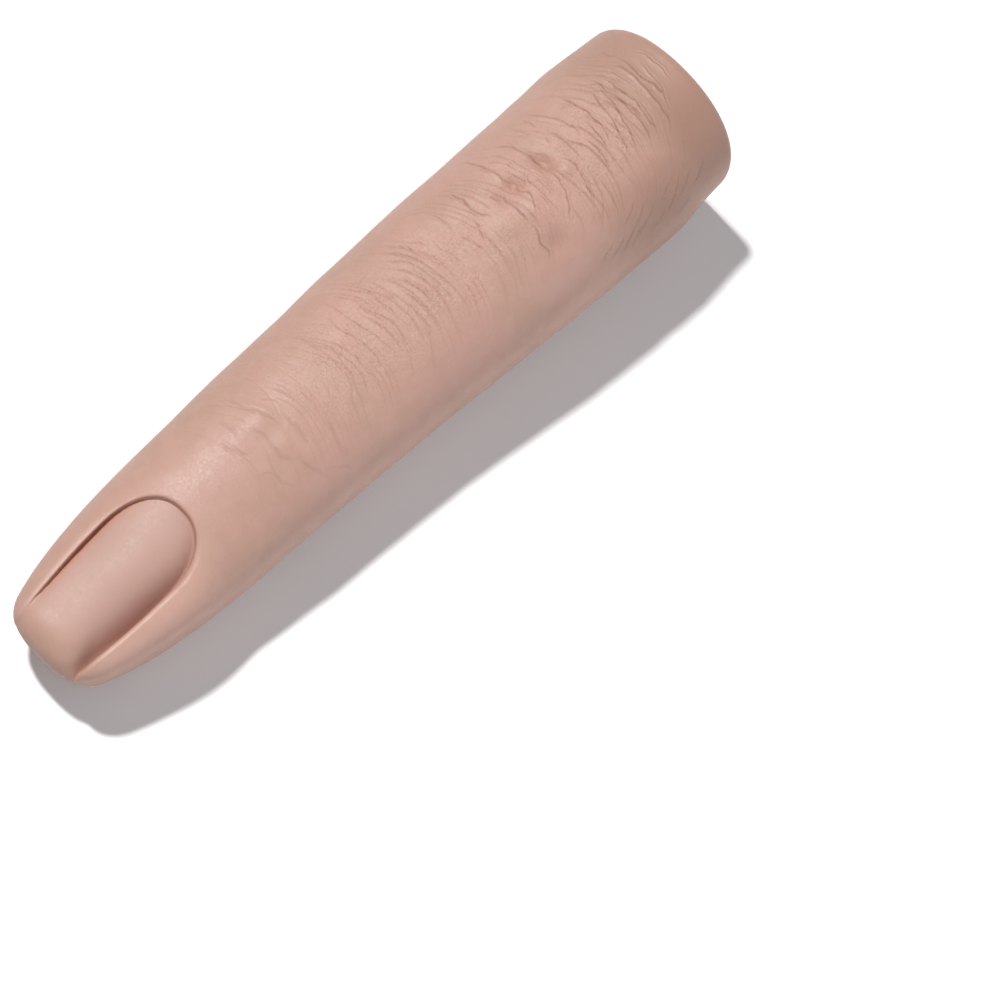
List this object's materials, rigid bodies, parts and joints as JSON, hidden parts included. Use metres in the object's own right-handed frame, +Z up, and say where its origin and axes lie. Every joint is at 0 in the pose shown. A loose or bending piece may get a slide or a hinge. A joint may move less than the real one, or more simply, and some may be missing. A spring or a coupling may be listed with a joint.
{
  "type": "nail practice finger",
  "caption": "Soft practice finger for nail work: recessed nail bed with a slot under its folds, over a jointed core that bends at the fingertip joint and the knuckle.",
  "frame": {"origin": "on the resting plane, under the middle of the finger's box", "axes": "+X from the fingertip to the cut rear end, +Z up through the nail side, Y across the finger and along both pivots"},
  "size_m": [0.085, 0.0202, 0.0184],
  "materials": {
    "skin": "matte silicone in a skin tone, with fine creases",
    "core": "ivory moulded plastic",
    "steel": "plain zinc-plated steel",
    "nylon": "natural nylon",
    "plug": "hard moulded plastic near the skin's tone"
  },
  "bodies": {
    "proximal": {"skin_base": "skin", "skin_pip_fold": "skin", "proximal_bone": "core", "base_plug": "plug", "base_screw": "steel", "pip_screw": "steel", "pip_nut": "steel", "pip_spring_washer": "steel", "pip_washer_left": "nylon", "pip_washer_right": "nylon"},
    "middle": {"skin_middle": "skin", "skin_dip_fold": "skin", "middle_bone": "core", "dip_screw": "steel", "dip_nut": "steel", "dip_spring_washer": "steel", "dip_washer_left": "nylon", "dip_washer_right": "nylon"},
    "distal": {"skin_tip": "skin", "distal_bone": "core"}
  },
  "joints": [
    {"name": "pip_bend", "type": "hinge", "parent": "proximal", "child": "middle", "pos_m": [0.021, 0, 0.008], "axis": [0, -1, 0], "range_deg": [0, 60], "deforming": ["skin_pip_fold"]},
    {"name": "dip_bend", "type": "hinge", "parent": "middle", "child": "distal", "pos_m": [-0.014, 0, 0.008], "axis": [0, -1, 0], "range_deg": [0, 45], "deforming": ["skin_dip_fold"]}
  ]
}
